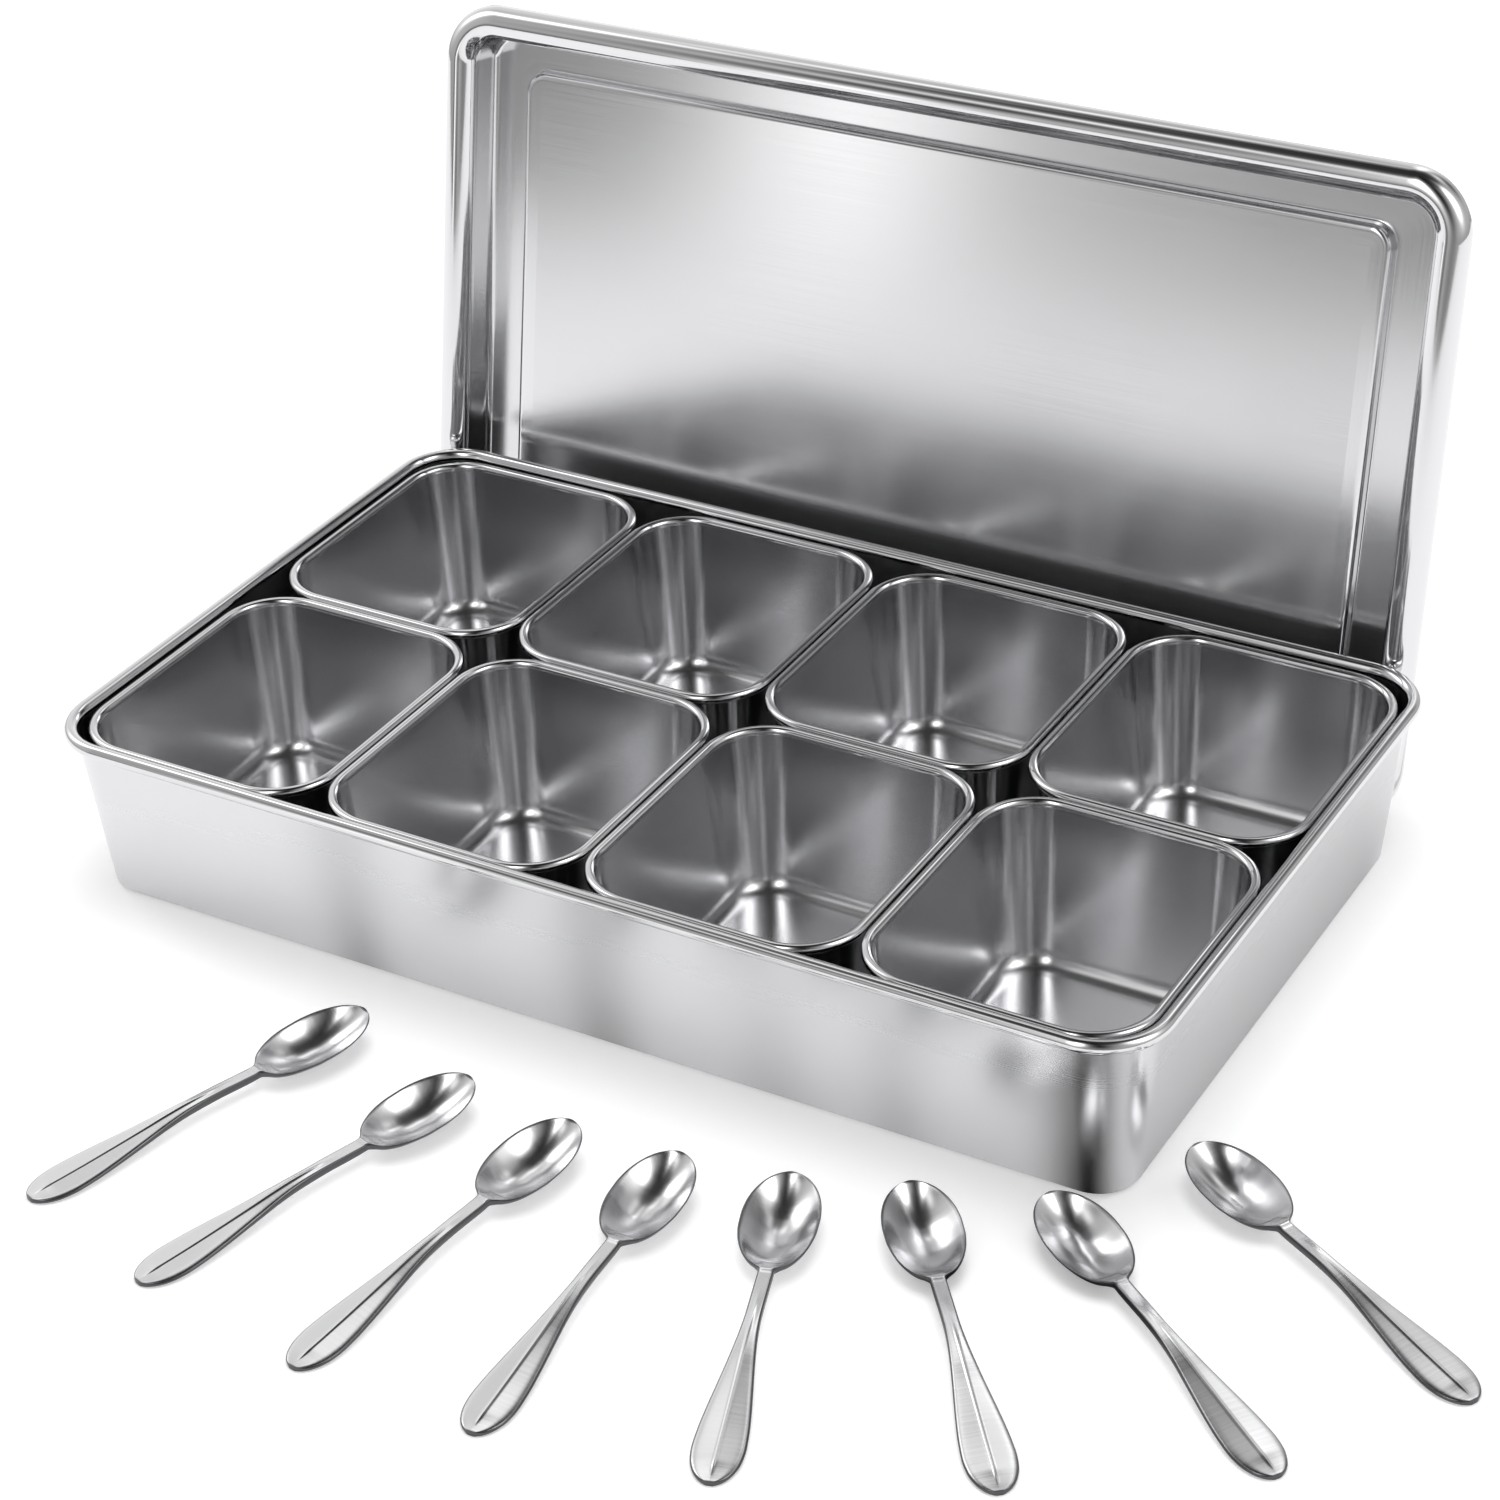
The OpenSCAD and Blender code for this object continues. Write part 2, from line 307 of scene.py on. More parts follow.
class Shell:
    """A closed surface from a grid of rings, with its UV map and polish attribute."""

    def __init__(self, name: str, grid: np.ndarray, polish_and_edge_shade: np.ndarray, plan: np.ndarray) -> None:
        """Keeps what the mesh is made from.

        Args:
            name: Name of the mesh and the object.
            grid: Rings by stations by three, in millimetres.
            polish_and_edge_shade: Polish of each ring, or of each point; on the spoons it is also the painted
                dark shade along the edges.
            plan: The grid before it was placed, for the UV map of the end faces.
        """
        self.name = name
        self.grid = grid
        self.polish_and_edge_shade = np.broadcast_to(polish_and_edge_shade if polish_and_edge_shade.ndim == 2 else polish_and_edge_shade[:, None], grid.shape[:2])
        self.plan = plan

    def mesh(self) -> bpy.types.Mesh:
        """Makes the mesh: quads between neighbouring rings, and one face over each end.

        The UV map holds metres around the ring and metres along the section.

        Returns:
            The new mesh.
        """
        rings, stations, _ = self.grid.shape
        points = self.grid.reshape(-1, 3) * MM
        ring = np.arange(rings - 1)[:, None] * stations
        here = np.arange(stations)[None]
        there = (here + 1) % stations
        quads = np.stack([ring + here, ring + there, ring + stations + there, ring + stations + here], axis=2)
        quads = quads.reshape(-1, 4)
        first = np.arange(stations)[::-1]
        last = (rings - 1) * stations + np.arange(stations)
        corners = np.concatenate([quads.ravel(), first, last])
        sizes = np.concatenate([np.full(len(quads), 4), [stations, stations]])
        mesh = bpy.data.meshes.new(self.name)
        mesh.vertices.add(len(points))
        mesh.vertices.foreach_set("co", points.ravel())
        mesh.loops.add(len(corners))
        mesh.loops.foreach_set("vertex_index", corners)
        mesh.polygons.add(len(sizes))
        mesh.polygons.foreach_set("loop_start", np.concatenate([[0], np.cumsum(sizes)[:-1]]))
        mesh.polygons.foreach_set("use_smooth", np.ones(len(sizes), bool))
        mesh.update(calc_edges=True)

        around = np.linalg.norm(np.diff(self.grid, axis=1, append=self.grid[:, :1]), axis=2)
        widest = around[np.argmax(around.sum(axis=1))]
        u = np.concatenate([[0.0], np.cumsum(widest)]) * MM
        along = np.linalg.norm(np.diff(self.grid, axis=0), axis=2).max(axis=1)
        v = np.concatenate([[0.0], np.cumsum(along)]) * MM
        low = np.broadcast_to(here, (rings - 1, stations))
        deep = np.broadcast_to(np.arange(rings - 1)[:, None], (rings - 1, stations))
        quad_u = np.stack([u[low], u[low + 1], u[low + 1], u[low]], axis=2).reshape(-1)
        quad_v = np.stack([v[deep], v[deep], v[deep + 1], v[deep + 1]], axis=2).reshape(-1)
        flat = (self.plan.reshape(-1, 3) * MM)[np.concatenate([first, last])][:, :2]
        uv = np.concatenate([np.stack([quad_u, quad_v], axis=1), flat])
        layer = mesh.uv_layers.new(name=UV_NAME)
        layer.data.foreach_set("uv", uv.ravel())
        attribute = mesh.attributes.new(POLISH_AND_EDGE_SHADE_NAME, "FLOAT", "POINT")
        attribute.data.foreach_set("value", self.polish_and_edge_shade.ravel().astype(np.float32))
        mesh.validate()
        return mesh

    def place(self, body: str, slot: str, finish: bpy.types.Material) -> bpy.types.Object:
        """Makes the object, puts it in the CAD node's stead and lets it ride on its body.

        Args:
            body: The CAD body and node of the same name.
            slot: The record's material slot; not used.
            finish: The material.

        Returns:
            The new object.
        """
        piece = bpy.data.objects.new(self.name, self.mesh())
        bpy.context.scene.collection.objects.link(piece)
        piece.data.materials.append(finish)
        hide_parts(body)
        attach(piece, body)
        LOG.info("%s: %d vertices on body %s", piece.name, len(piece.data.vertices), body)
        return piece


@dataclass(frozen=True)
class PressedPan:
    """An open pressed pan with sloping walls, a rounded lower edge and a rolled rim. Millimetres and degrees.

    The margins are the distances of the points that keep a flat part's shading flat from the flat part's ends.
    """

    length: float
    width: float
    height: float
    corner: float
    draft: float
    edge: float
    sheet: float
    bead: float
    lap_share: float = 0.05
    arc_steps: int = 10
    bead_steps: int = 28
    margin: float = 0.4
    rim_margin: float = 0.12
    rim_fade: float = 0.4

    def section(self) -> tuple[np.ndarray, np.ndarray]:
        """The closed section from the middle of the underside round the rim to the middle of the floor.

        Underside, round of radius edge, outer face leaning by the draft, bead circle, inner face one sheet
        inside, round of radius edge less the sheet, floor.

        Returns:
            Points as distance from the corner axis and height, and the polish of each.
        """
        tilt = math.radians(self.draft)
        rise = np.array([math.sin(tilt), math.cos(tilt)])
        top = self.height - self.bead / 2
        seat = self.corner - self.bead + self.bead * self.lap_share + self.sheet / math.cos(tilt)
        base = seat - top * math.tan(tilt)
        middle = (base - self.edge * (1 - math.sin(tilt)) / math.cos(tilt), self.edge)
        bead = np.array([self.corner - self.bead / 2, top])
        outer = arc(middle, self.edge, -90.0, -self.draft, self.arc_steps)
        inner = arc(middle, self.edge - self.sheet, -self.draft, -90.0, self.arc_steps)
        join_out = meet(outer[-1], rise, bead, self.bead / 2)
        join_in = meet(inner[0], rise, bead, self.bead / 2)
        angle_out = math.degrees(math.atan2(*(join_out - bead)[::-1]))
        angle_in = math.degrees(math.atan2(*(join_in - bead)[::-1])) % 360.0
        roll = arc(tuple(bead), self.bead / 2, angle_out, angle_in, self.bead_steps)
        start, stop = np.array([AXIS_REACH, 0.0]), np.array([AXIS_REACH, self.sheet])
        parts = [(start[None], 0), (line(start, outer[0], self.margin)[1:], 0), (outer, 0),
                 (line(outer[-1], join_out, self.margin)[:1], 0),
                 (line(outer[-1], join_out, self.rim_margin)[1:], self.rim_fade),
                 (roll, 1), (line(join_in, inner[0], self.rim_margin)[:1], self.rim_fade),
                 (line(join_in, inner[0], self.margin)[1:], 0),
                 (inner, 0), (line(inner[-1], stop, self.margin)[:1], 0), (stop[None], 0)]
        points = np.concatenate([p for p, _ in parts])
        polish_and_edge_shade = np.concatenate([np.full(len(p), float(w)) for p, w in parts])
        return points, polish_and_edge_shade

    def table(self, points: np.ndarray) -> np.ndarray:
        """Turns section points into rings: half sizes grow with the distance from the corner axis.

        Args:
            points: Distance from the corner axis and height.

        Returns:
            Rows of half length, half width, corner radius and height.
        """
        r, z = points[:, 0], points[:, 1]
        return np.stack([self.length / 2 - self.corner + r, self.width / 2 - self.corner + r, r, z], axis=1)

    def shell(self, name: str, shift: tuple[float, float, float]) -> Shell:
        """The pan's surface moved by shift.

        Args:
            name: Name of the piece.
            shift: Move in millimetres.

        Returns:
            The surface.
        """
        points, polish_and_edge_shade = self.section()
        grid = PATH.rings(self.table(points))
        return Shell(name, grid + np.asarray(shift), polish_and_edge_shade, grid)


TRAY = PressedPan(length=370.0, width=220.0, height=58.0, corner=22.0, draft=6.0, edge=2.0, sheet=0.8, bead=4.5)


@dataclass(frozen=True)
class PanSet:
    """The two rows of lift-out pans that fill the tray."""

    columns: int = 4
    rows: tuple[str, ...] = ("front", "back")
    gap: float = 0.8
    play: float = 1.0
    drop: float = 2.0
    sheet: float = 0.7
    bead: float = 3.2
    corner: float = 21.0
    edge: float = 6.5
    draft: float = 5.5

    def pan(self) -> PressedPan:
        """One pan, sized so that the rows fill the room inside the tray's rim."""
        room_x = TRAY.length - 2 * TRAY.bead - 2 * self.play
        room_y = TRAY.width - 2 * TRAY.bead - 2 * self.play
        return PressedPan(
            length=(room_x + self.gap) / self.columns - self.gap,
            width=(room_y + self.gap) / len(self.rows) - self.gap,
            height=TRAY.height - self.drop - TRAY.sheet,
            corner=self.corner, draft=self.draft, edge=self.edge, sheet=self.sheet, bead=self.bead)

    def build(self, finish: bpy.types.Material) -> None:
        """Places every pan in its row and column."""
        pan = self.pan()
        for row, row_name in enumerate(self.rows):
            for column in range(self.columns):
                shift = ((column - (self.columns - 1) / 2) * (pan.length + self.gap),
                         (row - (len(self.rows) - 1) / 2) * (pan.width + self.gap), TRAY.sheet)
                node = f"pan_{row_name}_{column + 1}"
                pan.shell(f"{node}_shell", shift).place(node, "pan_steel", finish)


@dataclass(frozen=True)
class Lid:
    """The pressed lid, worked out lying open side down and then stood behind the tray. Millimetres and degrees.

    The margins are the distances of the points that keep a flat part's shading flat from the flat part's ends.
    """

    length: float = 360.0
    width: float = 210.0
    depth: float = 16.5
    sheet: float = 0.8
    border: float = 11.0
    skirt: float = 1.2
    corner: float = 20.0
    edge: float = 3.0
    draft: float = 3.0
    ledge: float = 10.5
    ledge_end: float = 15.0
    rise: float = 4.5
    panel_corner: float = 7.0
    panel_edge: float = 2.0
    panel_draft: float = 8.0
    lean: float = 10.0
    gap: float = 0.9
    aside: float = -6.0
    lap_share: float = 0.15
    arc_steps: int = 8
    pipe_steps: int = 26
    inner_steps: int = 22
    inner_end: float = 186.0
    back_lift: float = 0.05
    lip: float = 0.1
    panel_margin: float = 0.5
    rise_margin: float = 0.15
    wall_margin: float = 0.3
    ledge_margin: float = 0.4
    panel_ledge_margins: tuple[float, float] = (0.3, 0.2)

    def _outer(self, points: np.ndarray) -> np.ndarray:
        """Rings about the lid's own corner axes."""
        r, z = points[:, 0], points[:, 1]
        return np.stack([self.length / 2 - self.corner + r, self.width / 2 - self.corner + r, r, z], axis=1)

    def _panel(self, points: np.ndarray) -> np.ndarray:
        """Rings about the raised panel's corner axes."""
        run = (self.depth + self.sheet - self.border / 2) * math.tan(math.radians(self.draft))
        inset = self.border + run + self.panel_corner
        r, z = points[:, 0], points[:, 1]
        return np.stack([self.length / 2 - inset - self.ledge_end + r, self.width / 2 - inset - self.ledge + r,
                         r, z], axis=1)

    def table(self) -> tuple[np.ndarray, np.ndarray]:
        """All rings: inside face of the panel, its wall, ledge, side wall, border, skirt, and the back faces.

        Returns:
            The ring table and the polish of each ring.
        """
        top = self.depth + self.sheet
        plane = self.depth - self.rise
        radius = self.border / 2
        # raised panel
        tilt = math.radians(self.panel_draft)
        reach = self.panel_corner + self.sheet
        base = reach - (self.rise + self.sheet) * math.tan(tilt)
        mid = (base - self.panel_edge * (1 - math.sin(tilt)) / math.cos(tilt), plane + self.panel_edge)
        p_out = arc(mid, self.panel_edge, -90.0, -self.panel_draft, self.arc_steps)
        p_in = arc(mid, self.panel_edge - self.sheet, -self.panel_draft, -90.0, self.arc_steps)
        wall_out = np.array([base + self.rise * math.tan(tilt), self.depth])
        wall_in = np.array([reach - self.sheet / math.cos(tilt), top])
        # side wall and border
        lean = math.radians(self.draft)
        lap = self.sheet * self.lap_share
        foot = self.corner - self.border + lap + self.sheet / math.cos(lean) + (radius - top) * math.tan(lean)
        bend = (foot - self.edge * (1 - math.sin(lean)) / math.cos(lean), top - self.edge)
        s_in = arc(bend, self.edge - self.sheet, 90.0, self.draft, self.arc_steps)
        s_out = arc(bend, self.edge, self.draft, 90.0, self.arc_steps)
        fall = np.array([math.sin(lean), -math.cos(lean)])
        centre = np.array([self.corner - radius, radius])
        join = meet(s_in[-1], fall, centre, radius)
        start = math.degrees(math.atan2(*(join - centre)[::-1])) % 360.0
        pipe_out = arc(tuple(centre), radius, start, 360.0, self.pipe_steps)
        inner = radius - self.sheet
        pipe_in = arc(tuple(centre), inner, 360.0, self.inner_end, self.inner_steps)
        skirt_out = np.array([self.corner, radius + self.skirt])
        skirt_in = np.array([self.corner - self.sheet, radius + self.skirt])
        join_back = np.array([self._face(s_out[0], fall, pipe_in[-1][1]), pipe_in[-1][1] + self.back_lift])
        one = np.array([[AXIS_REACH, plane]])
        two = np.array([[AXIS_REACH, plane + self.sheet]])
        ledge_in = np.array([[s_in[0][0] - self.ledge_margin, self.depth]])
        ledge_out = np.array([[s_out[-1][0] - self.ledge_margin, top]])
        # points and their polish
        panel_front = [(one, 0), (line(one[0], p_out[0], self.panel_margin)[1:], 0), (p_out, 0.6),
                       (line(p_out[-1], wall_out, self.rise_margin), 0.6), (wall_out[None], 0.2)]
        side = [(ledge_in, 0), (s_in, 0.5), (line(s_in[-1], join, self.wall_margin), 0.3), (pipe_out, 1),
                (skirt_out[None] - [0.0, self.lip], 1), (skirt_out[None], 1), (skirt_in[None], 1),
                (skirt_in[None] - [0.0, self.lip], 1), (pipe_in, 0.5), (join_back[None], 0.2),
                (line(join_back, s_out[0], self.wall_margin), 0), (s_out, 0.3), (ledge_out, 0)]
        panel_back = [(wall_in[None], 0.2), (line(wall_in, p_in[0], self.rise_margin), 0.3), (p_in, 0.3),
                      (line(p_in[-1], two[0], self.panel_margin)[:1], 0), (two, 0)]
        ledge_front = self._panel(np.array([[reach + self.panel_ledge_margins[0], self.depth]]))
        ledge_back = self._panel(np.array([[reach + self.panel_ledge_margins[1], top]]))
        rings = [self._panel(np.concatenate([p for p, _ in panel_front])), ledge_front,
                 self._outer(np.concatenate([p for p, _ in side])), ledge_back,
                 self._panel(np.concatenate([p for p, _ in panel_back]))]
        shine = [np.concatenate([np.full(len(p), float(w)) for p, w in part])
                 for part in (panel_front, side, panel_back)]
        polish_and_edge_shade = np.concatenate([shine[0], [0.0], shine[1], [0.0], shine[2]])
        return np.concatenate(rings), polish_and_edge_shade

    @staticmethod
    def _face(point: np.ndarray, way: np.ndarray, height: float) -> float:
        """Distance from the axis at which the line from point along way has that height."""
        return float(point[0] + way[0] / way[1] * (height - point[1]))

    def stood(self, flat: np.ndarray) -> np.ndarray:
        """Stands flat points up: a quarter turn back, a lift by half the width, the lean, then the place.

        Args:
            flat: Points of the lying lid.

        Returns:
            Points of the standing lid.
        """
        seat = (self.border / 2 + self.skirt) * math.sin(math.radians(self.lean))
        foot = TRAY.width / 2 + self.gap - (TRAY.height - seat) * math.tan(math.radians(self.lean))
        move = (Matrix.Translation((self.aside, foot, seat)) @ Matrix.Rotation(math.radians(-self.lean), 4, "X")
                @ Matrix.Translation((0, 0, self.width / 2)) @ Matrix.Rotation(math.radians(-90), 4, "X"))
        turn = np.array(move)
        return flat @ turn[:3, :3].T + turn[:3, 3]

    def build(self, finish: bpy.types.Material) -> None:
        """Makes the lid and lets it ride on its body."""
        table, polish_and_edge_shade = self.table()
        flat = PATH.rings(table)
        Shell("lid_shell", self.stood(flat), polish_and_edge_shade, flat).place("lid", "lid_steel", finish)


@dataclass(frozen=True)
class Spoon:
    """A one-piece teaspoon, from the handle's end to the bowl's tip.

    All sizes but the length are shares of the length. A band is a start, the run over which its effect comes
    in, an end and the run over which it goes out.
    """

    length: float = 115.0
    steps: int = 128
    side_steps: int = 48
    edge_power: float = 12.0
    middle_steps: float = 0.25
    crease_height: float = 0.0014
    crease_width: float = 0.0035
    crease_band: tuple[float, float, float, float] = (0.02, 0.03, 0.56, 0.1)
    drop_height: float = 0.0062
    drop_width: float = 0.021
    drop_band: tuple[float, float, float, float] = (0.655, 0.03, 0.722, 0.012)
    edge_width: float = 0.0030
    stations: np.ndarray = field(default_factory=lambda: np.array([
        # along, half width, height of the edge, hollow, ridge, thickness
        [0.0013, 0.0004, 0.0135, 0.0000, 0.0000, 0.0100],
        [0.0015, 0.0085, 0.0135, 0.0000, 0.0001, 0.0126],
        [0.0078, 0.0228, 0.0135, 0.0000, 0.0005, 0.0126],
        [0.0202, 0.0362, 0.0138, 0.0000, 0.0014, 0.0126],
        [0.0420, 0.0490, 0.0144, 0.0000, 0.0029, 0.0127],
        [0.0714, 0.0579, 0.0157, 0.0000, 0.0046, 0.0128],
        [0.1092, 0.0613, 0.0182, 0.0000, 0.0046, 0.0130],
        [0.1597, 0.0587, 0.0222, 0.0000, 0.0046, 0.0134],
        [0.2185, 0.0524, 0.0277, 0.0000, 0.0046, 0.0140],
        [0.2773, 0.0445, 0.0336, 0.0000, 0.0046, 0.0148],
        [0.3361, 0.0363, 0.0399, 0.0000, 0.0046, 0.0159],
        [0.3950, 0.0288, 0.0469, 0.0000, 0.0046, 0.0172],
        [0.4538, 0.0229, 0.0523, 0.0000, 0.0042, 0.0194],
        [0.5126, 0.0197, 0.0555, 0.0000, 0.0025, 0.0210],
        [0.5630, 0.0193, 0.0571, 0.0000, 0.0012, 0.0210],
        [0.6050, 0.0193, 0.0571, 0.0000, 0.0000, 0.0210],
        [0.6387, 0.0193, 0.0571, 0.0000, 0.0000, 0.0205],
        [0.6639, 0.0193, 0.0571, 0.0000, 0.0000, 0.0184],
        [0.6790, 0.0306, 0.0572, 0.0063, 0.0000, 0.0168],
        [0.6941, 0.0497, 0.0576, 0.0172, 0.0000, 0.0153],
        [0.7143, 0.0656, 0.0586, 0.0288, 0.0000, 0.0136],
        [0.7395, 0.0785, 0.0604, 0.0399, 0.0000, 0.0115],
        [0.7731, 0.0888, 0.0629, 0.0498, 0.0000, 0.0097],
        [0.8109, 0.0942, 0.0654, 0.0551, 0.0000, 0.0093],
        [0.8487, 0.0948, 0.0682, 0.0558, 0.0000, 0.0089],
        [0.8866, 0.0912, 0.0711, 0.0522, 0.0000, 0.0087],
        [0.9202, 0.0829, 0.0736, 0.0442, 0.0000, 0.0085],
        [0.9479, 0.0711, 0.0757, 0.0337, 0.0000, 0.0085],
        [0.9697, 0.0566, 0.0774, 0.0224, 0.0000, 0.0084],
        [0.9857, 0.0401, 0.0787, 0.0121, 0.0000, 0.0084],
        [0.9958, 0.0221, 0.0795, 0.0042, 0.0000, 0.0084],
        [0.9994, 0.0070, 0.0798, 0.0005, 0.0000, 0.0084],
        [0.9996, 0.0004, 0.0798, 0.0000, 0.0000, 0.0070]]))

    def _smooth(self) -> np.ndarray:
        """Stations at even steps of their index, on cubic Hermite curves with clipped middle slopes.

        Returns:
            Rows as in stations, many more of them.
        """
        rows = self.stations
        rise = np.diff(rows, axis=0)
        before, after = rise[:-1], rise[1:]
        both = before * after
        inside = np.where(both > 0, 2 * both / np.where(both > 0, before + after, 1.0), 0.0)
        slope = np.concatenate([rise[:1], inside, rise[-1:]])
        at = np.linspace(0.0, len(rows) - 1.0, self.steps)
        k = np.minimum(at.astype(int), len(rows) - 2)
        t = (at - k)[:, None]
        return ((2 * t**3 - 3 * t**2 + 1) * rows[k] + (t**3 - 2 * t**2 + t) * slope[k]
                + (3 * t**2 - 2 * t**3) * rows[k + 1] + (t**3 - t**2) * slope[k + 1])

    def grid(self) -> tuple[np.ndarray, np.ndarray]:
        """Closed loops around the spoon, one for each station.

        The middle sheet lies at edge height less hollow * (1 - u * u). Half the thickness falls off to the
        edge as the root of 1 - |u| ** power. The upper side adds the ridge * (1 - |u|), a fine crease
        height * exp(-(u * half / width) ** 2) along the handle, and a small drop of flatter form,
        height * exp(-(u * half / width) ** 4), where it enters the bowl. The steps of u are
        sin(90 degrees * (share * t + (1 - share) * t ** 3)) for even steps of t, finest at the middle and
        the edges.

        The painted dark edge is 1 within edge_width of the outline and falls to 0 over as much again; it paints
        shade along the spoon's edges and makes them rougher.

        Returns:
            Stations by loop points by three, along the spoon, across and up; and the share of painted dark edge
            shade at each point.
        """
        rows = self._smooth()
        along, half, edge, hollow, ridge, thick = (rows[:, k, None] for k in range(6))
        t = np.linspace(-1.0, 1.0, self.side_steps + 1)[None]
        u = np.sin(math.pi / 2 * (self.middle_steps * t + (1 - self.middle_steps) * t**3))
        fade = np.sqrt(np.clip(1 - np.abs(u) ** self.edge_power, 0.0, 1.0))
        middle = edge - hollow * (1 - u * u) - thick / 2
        drop = self.drop_height * np.exp(-((u * half / self.drop_width) ** 4)) * self._band(along, self.drop_band)
        crease = self.crease_height * np.exp(-((u * half / self.crease_width) ** 2))
        crease = crease * self._band(along, self.crease_band)
        top = middle + fade * (thick / 2) + ridge * (1 - np.abs(u)) * fade + drop * fade + crease
        low = middle - fade * (thick / 2)
        upper = np.stack([along + 0 * u, u * half, top], axis=2)[:, ::-1]
        lower = np.stack([along + 0 * u, u * half, low], axis=2)[:, 1:-1]
        loops = np.concatenate([upper, lower], axis=1) * self.length
        # Painted shade: a mask that darkens the metal along the spoon's outline.
        inside = np.minimum(half * (1 - np.abs(u)), np.minimum(along, 1 - along)) / self.edge_width
        painted_dark_edge = np.clip(2 - inside, 0, 1)
        painted_dark_edge = np.concatenate([painted_dark_edge[:, ::-1], painted_dark_edge[:, 1:-1]], axis=1)
        return loops - [self.length / 2, 0.0, 0.0], painted_dark_edge

    @staticmethod
    def _band(along: np.ndarray, band: tuple[float, float, float, float]) -> np.ndarray:
        """1 between the band's start and end, falling to 0 over its runs."""
        start, rise, end, fall = band
        return np.clip((along - start) / rise, 0, 1) * np.clip((end - along) / fall, 0, 1)


@dataclass(frozen=True)
class SpoonFan:
    """Places of the spoons' middles and their headings in degrees.

    A place is its distance from the tray's middle as a share of half its length, then sideways and out from
    the tray's front as shares of the spoon's length.
    """

    places: tuple[tuple[float, float, float], ...] = (
        (-0.4005, 0.0, 0.6287), (-0.1438, 0.0, 0.7504), (0.1114, 0.0, 0.8061), (0.353, 0.0, 0.7965),
        (0.6097, 0.0, 0.7157), (0.8686, 0.0, 0.5348), (1.0, 0.1965, 0.3183), (1.0, 0.4565, -0.053))
    turns: tuple[float, ...] = (70.0, 71.8, 82.3, 92.8, 108.7, 128.7, 145.2, 151.4)

    def build(self, finish: bpy.types.Material) -> None:
        """Lays out every spoon."""
        spoon = Spoon()
        loops, painted_dark_edge = spoon.grid()
        for number, (place, heading) in enumerate(zip(self.places, self.turns), start=1):
            turn = np.array(Matrix.Rotation(math.radians(heading), 3, "Z"))
            shift = np.array([place[0] * TRAY.length / 2 + place[1] * spoon.length,
                              -TRAY.width / 2 - place[2] * spoon.length, 0.0])
            laid = loops @ turn.T + shift
            shell = Shell(f"spoon_{number}_shell", laid, painted_dark_edge, loops)
            shell.place(f"spoon_{number}", "spoon_steel", finish)


@dataclass(frozen=True)
class View:
    """The photograph's camera: focal length and middle in its pixels, angles in degrees, place in millimetres."""

    focal: float
    azimuth: float
    elevation: float
    roll: float
    shift: tuple[float, float, float]
    middle: tuple[float, float]

    def build(self) -> None:
        """Makes the camera and makes it the scene's."""
        az, el, roll = (math.radians(v) for v in (self.azimuth, self.elevation, self.roll))
        back = Vector((math.sin(az) * math.cos(el), -math.cos(az) * math.cos(el), math.sin(el)))
        right = Vector((math.cos(az), math.sin(az), 0.0))
        up = back.cross(right)
        side = math.cos(roll) * right + math.sin(roll) * up
        high = -math.sin(roll) * right + math.cos(roll) * up
        turn = Matrix((side, high, back))
        place = -(turn.transposed() @ Vector(self.shift)) * MM
        data = bpy.data.cameras.new("photograph view")
        data.sensor_width = SENSOR_MM
        data.lens = self.focal * SENSOR_MM / IMAGE_SIDE
        data.shift_x = (IMAGE_SIDE / 2 - self.middle[0]) / IMAGE_SIDE
        data.shift_y = (self.middle[1] - IMAGE_SIDE / 2) / IMAGE_SIDE
        data.clip_start, data.clip_end = CAMERA_REACH
        camera = bpy.data.objects.new("photograph view", data)
        camera.matrix_world = Matrix.Translation(place) @ turn.transposed().to_4x4()
        bpy.context.scene.collection.objects.link(camera)
        bpy.context.scene.camera = camera


@dataclass(frozen=True)
class Softbox:
    """A rectangular lamp that looks at a point. Metres and watts."""

    name: str
    place: tuple[float, float, float]
    target: tuple[float, float, float]
    size: tuple[float, float]
    power: float

    def build(self) -> None:
        """Makes the lamp."""
        data = bpy.data.lights.new(self.name, "AREA")
        data.shape = "RECTANGLE"
        data.size, data.size_y = self.size
        data.energy = self.power
        lamp = bpy.data.objects.new(self.name, data)
        way = Vector(self.target) - Vector(self.place)
        lamp.matrix_world = Matrix.Translation(self.place) @ way.to_track_quat("-Z", "Y").to_matrix().to_4x4()
        lamp.visible_glossy = False
        bpy.context.scene.collection.objects.link(lamp)


